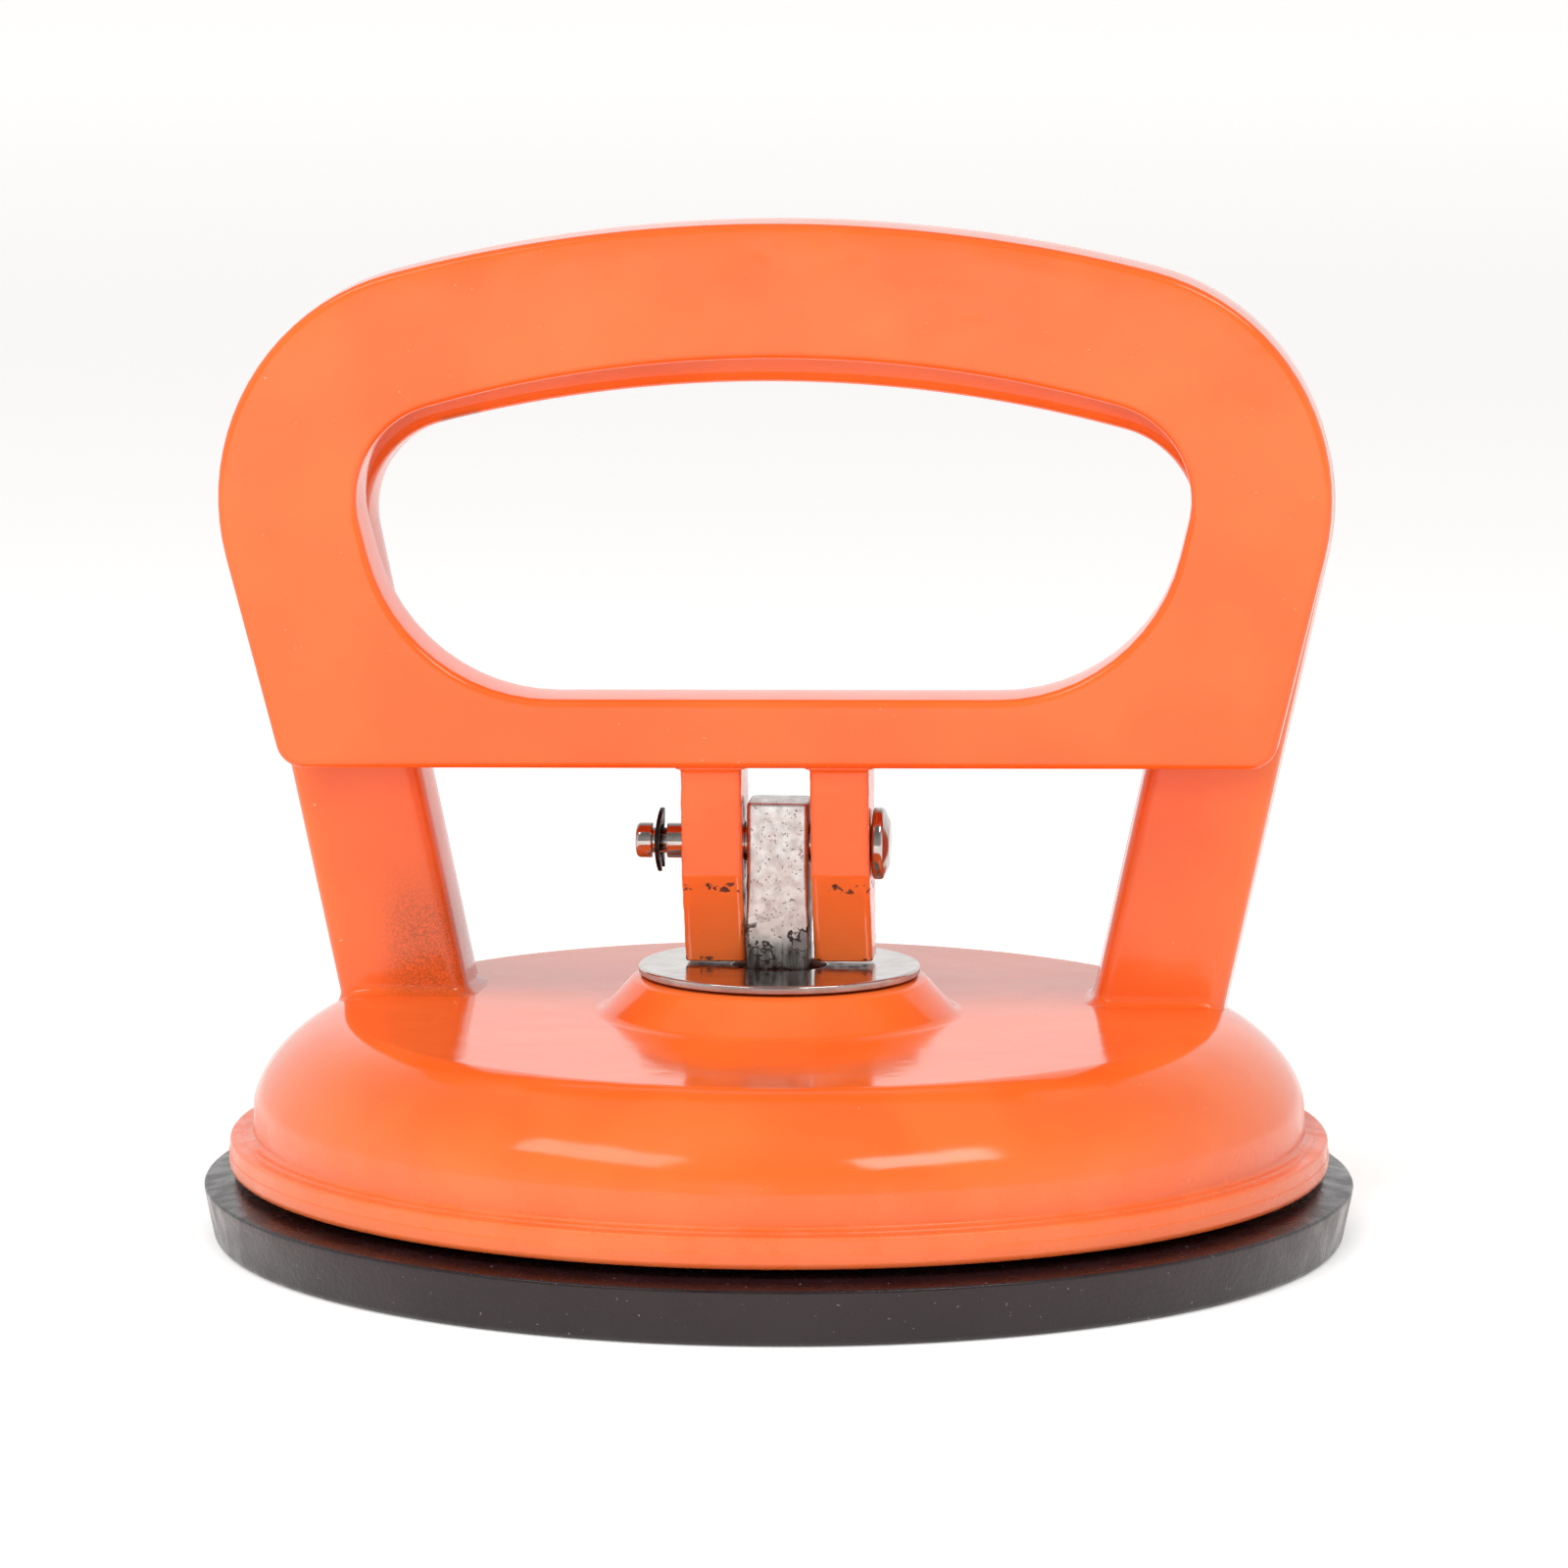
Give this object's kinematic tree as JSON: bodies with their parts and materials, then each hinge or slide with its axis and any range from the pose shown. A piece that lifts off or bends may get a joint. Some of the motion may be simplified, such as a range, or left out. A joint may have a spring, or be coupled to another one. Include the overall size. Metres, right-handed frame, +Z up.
{
  "type": "vacuum suction cup",
  "caption": "Hand vacuum suction cup: rubber disc under a cast dish with a fixed arched grip and a hinged D-shaped cam lever that lifts the disc's middle.",
  "frame": {"origin": "centre of the rubber disc's underside, on the plane it stands on", "axes": "+Z up through the stem, X along the hinge pin and the width of the grip, -Y the side the lever faces and swings out to"},
  "size_m": [0.118, 0.118, 0.1042],
  "materials": {
    "orange_enamel": "glossy orange stoving enamel over cast aluminium, slight orange peel, small chips at the cam edges",
    "black_rubber": "moulded black rubber, satin, fine pores and dust",
    "zinc_steel": "drawn steel bar, dull zinc plate with mottled stains",
    "bright_steel": "bright plated steel, smooth",
    "black_spring_steel": "blackened and oiled spring steel"
  },
  "bodies": {
    "base": {"rubber_pad": "black_rubber", "body_casting": "orange_enamel", "cam_washer": "bright_steel"},
    "stem": {"lift_stem": "zinc_steel", "anchor_plate": "zinc_steel", "pivot_pin": "bright_steel", "retaining_clip": "black_spring_steel"},
    "lever": {"lever_handle": "orange_enamel"}
  },
  "joints": [
    {"name": "stem_slide", "type": "slide", "parent": "base", "child": "stem", "axis": [0, 0, 1], "range_m": [-0.00265, 0]},
    {"name": "lever_hinge", "type": "hinge", "parent": "stem", "child": "lever", "pos_m": [0, 0, 0.0404], "axis": [1, 0, 0], "range_deg": [0, 75]}
  ],
  "couplings": [
    {"joint": "stem_slide", "follows": "lever_hinge", "m_per_rad": -0.002}
  ]
}
